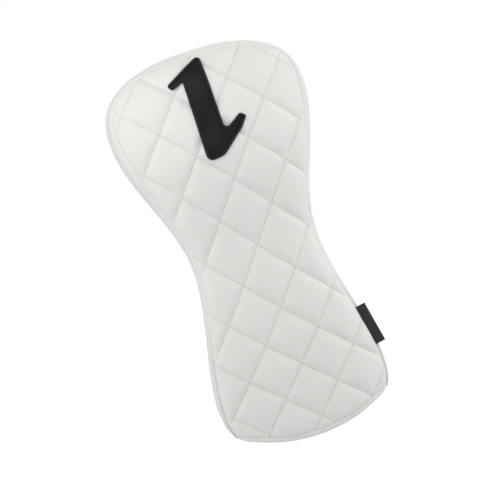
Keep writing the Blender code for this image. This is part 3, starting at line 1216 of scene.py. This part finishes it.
# Lamps: name, place from the middle of the cover, size and power
LAMPS = (
    ("key", (-0.12, -0.29, 0.26), 0.25, 0.27),
    ("front", (-0.08, -0.30, 0.20), 0.3, 0.12),
    ("right", (1.05, -0.18, 0.20), 0.6, 3.8),
    ("left", (-1.05, -0.12, 0.25), 0.6, 2.1),
    ("behind", (0.25, 0.55, 0.45), 0.4, 1.6),
)
ROOM_LIGHT = 0.60
FLOOR_SIZE = 3.0
FLOOR_GAP = 0.0004
FLOOR_PAINT = (0.12, 0.12, 0.12)
FLOOR_GLOW = 0.96


def white_room():
    """White all round: plain white to look at, and a little dimmer as a light."""
    scene = bpy.context.scene
    scene.view_settings.view_transform = "Standard"
    world = bpy.data.worlds.new("white_room")
    scene.world = world
    world.use_nodes = True
    tree = world.node_tree
    seen = tree.nodes["Background"]
    seen.inputs["Color"].default_value = (1, 1, 1, 1)
    seen.inputs["Strength"].default_value = 1.0
    light = node(tree, "Background", Color=(1.0, 1.0, 0.99, 1), Strength=ROOM_LIGHT)
    path = node(tree, "LightPath")
    mix = node(tree, "MixShader")
    tree.links.new(path.outputs["Is Camera Ray"], mix.inputs[0])
    tree.links.new(light.outputs[0], mix.inputs[1])
    tree.links.new(seen.outputs[0], mix.inputs[2])
    tree.links.new(mix.outputs[0], tree.nodes["World Output"].inputs["Surface"])


def floor():
    """A pale floor just under the hem. It is as bright as the room, and it can be seen through from below."""
    half = FLOOR_SIZE / 2
    corners = [(-half, -half), (half, -half), (half, half), (-half, half)]
    data = bpy.data.meshes.new("floor")
    data.from_pydata([(x, y, cad_box[0].z - FLOOR_GAP) for x, y in corners], [], [(0, 1, 2, 3)])
    made = add_object("floor", data)
    look = bpy.data.materials.new("floor_paint")
    look.use_nodes = True
    tree = look.node_tree
    tree.nodes.clear()
    paint = node(tree, "BsdfDiffuse", Color=(*FLOOR_PAINT, 1))
    glow = node(tree, "Emission")
    path = node(tree, "LightPath")
    brightness = ranged(tree, path.outputs["Is Camera Ray"], ROOM_LIGHT, FLOOR_GLOW)
    tree.links.new(brightness, glow.inputs["Strength"])
    top = node(tree, "AddShader")
    tree.links.new(paint.outputs[0], top.inputs[0])
    tree.links.new(glow.outputs[0], top.inputs[1])
    side = node(tree, "NewGeometry")
    both = node(tree, "MixShader")
    tree.links.new(side.outputs["Backfacing"], both.inputs[0])
    tree.links.new(top.outputs[0], both.inputs[1])
    tree.links.new(node(tree, "BsdfTransparent").outputs[0], both.inputs[2])
    output = node(tree, "OutputMaterial")
    tree.links.new(both.outputs[0], output.inputs["Surface"])
    data.materials.append(look)


def lamp(name, place, size, power):
    """A square soft light, at a place measured from the middle of the cover."""
    data = bpy.data.lights.new(name, "AREA")
    data.size = size
    data.energy = power
    made = add_object(name, data)
    made.location = (cad_box[0] + cad_box[1]) / 2 + Vector(place)
    made.rotation_mode = "QUATERNION"
    made.rotation_quaternion = (-Vector(place)).to_track_quat("-Z", "Y")
    made.visible_camera = False


def camera():
    """Level with the cover, a little to its left, and rolled so that the cover leans to the left."""
    data = bpy.data.cameras.new("camera")
    made = add_object("camera", data)
    data.lens = data.sensor_width * CAMERA_DISTANCE / FRAME_WIDTH
    data.shift_x = -CENTRE_OFFSET[0] / FRAME_PIXELS
    data.shift_y = CENTRE_OFFSET[1] / FRAME_PIXELS
    back = Vector((math.sin(CAMERA_AZIMUTH), -math.cos(CAMERA_AZIMUTH), 0))
    made.location = (cad_box[0] + cad_box[1]) / 2 + back * CAMERA_DISTANCE
    made.rotation_mode = "QUATERNION"
    roll = Matrix.Rotation(-COVER_TILT, 3, "Z").to_quaternion()
    made.rotation_quaternion = (-back).to_track_quat("-Z", "Y") @ roll
    bpy.context.scene.camera = made


# ---------- assembly

front = wall_piece(quilted_panel("front_quilting", FRONT), "white_leather", "front_panel")
back = wall_piece(quilted_panel("back_quilting", BACK), "white_leather", "back_panel")
strip = wall_piece(gusset("gusset_skin"), "white_leather", "side_gusset")

bead = wall_piece(hem_binding(), "white_leather", "hem_binding")
for wall, side, panel in (("front", FRONT, front), ("back", BACK, back)):
    threads = wall_piece(quilting_thread(wall + "_quilting_thread", side, panel), "white_leather")
    threads.material_slots[0].material = MATERIALS["white_thread"]

for wall, side in (("front", FRONT), ("back", BACK)):
    lining = wall_piece(panel_lining("fleece_" + wall, side), "fleece", wall + "_lining")
lining = wall_piece(gusset_lining(), "fleece", "gusset_lining")

patch, rim_points = numeral_leather(front)
satin = satin_edge(rim_points)
wall_piece(patch, "black_leather", "numeral_patch")
wall_piece(satin, "black_thread", "numeral_edging")

label = finished(woven_label(), "label_weave", "label", "side_label")

for name, look in (
    ("front_padding", "foam"),
    ("back_padding", "foam"),
    ("gusset_padding", "foam"),
    ("neck_elastic", "elastic_weave"),
):
    frame["nodes"][name].material_slots[0].material = MATERIALS[look]

white_room()
floor()
for lamp_settings in LAMPS:
    lamp(*lamp_settings)
camera()
